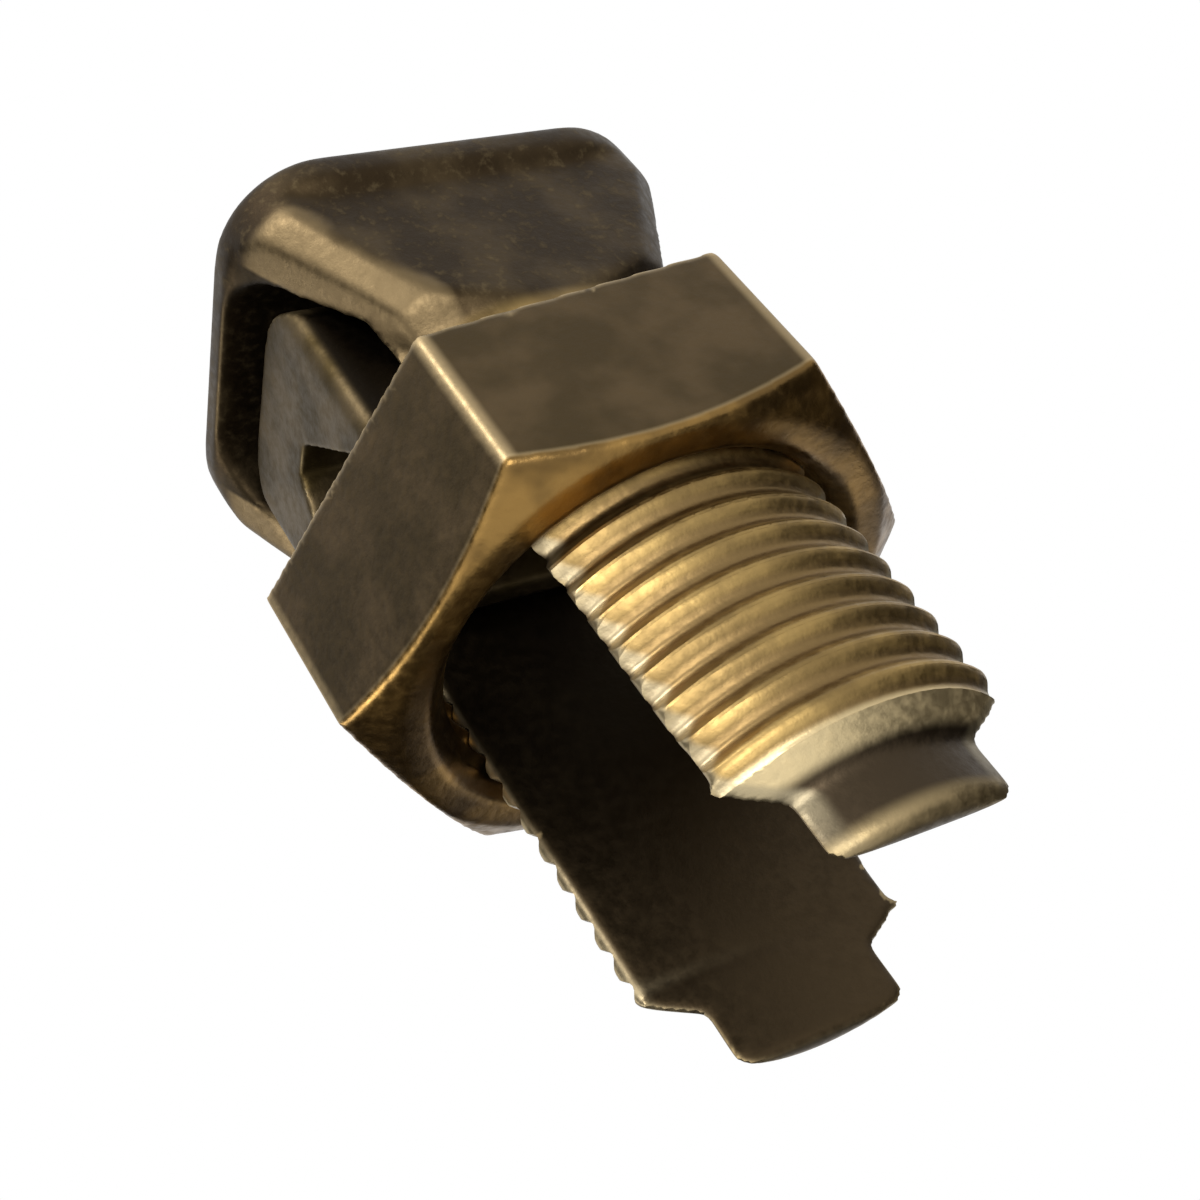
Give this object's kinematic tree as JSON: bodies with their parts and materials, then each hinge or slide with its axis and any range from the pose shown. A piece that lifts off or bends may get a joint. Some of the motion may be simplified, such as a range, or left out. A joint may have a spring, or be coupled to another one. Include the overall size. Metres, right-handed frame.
{
  "type": "split bolt connector",
  "caption": "Split bolt with a squared head, slotted threaded shank, sliding pressure bar and hex nut, for clamping wires side by side.",
  "frame": {"origin": "centre of the flat pad under the head, in the plane that it stands on", "axes": "+Z runs along the bolt from the head to the leg tips, +X along the clamped wires, and -Y is the front"},
  "size_m": [0.0182, 0.017, 0.0281],
  "materials": {
    "body_bronze": "dark oxidised forging, bright where threaded",
    "bar_bronze": "dark oxidised",
    "nut_bronze": "dark oxidised flats, bright chamfer and bore"
  },
  "bodies": {
    "body": {"split_body": "body_bronze"},
    "bar": {"pressure_bar": "bar_bronze"},
    "nut": {"hex_nut": "nut_bronze"}
  },
  "joints": [
    {"name": "bar_slide", "type": "slide", "parent": "body", "child": "bar", "axis": [0, 0, 1], "range_m": [-0.0011, 0.0076]},
    {"name": "nut_turn", "type": "hinge", "parent": "bar", "child": "nut", "pos_m": [0, 0, 0.011], "axis": [0, 0, 1], "range_deg": [-374, 2585]}
  ],
  "couplings": [
    {"joint": "bar_slide", "follows": "nut_turn", "m_per_rad": 0.00016844}
  ]
}
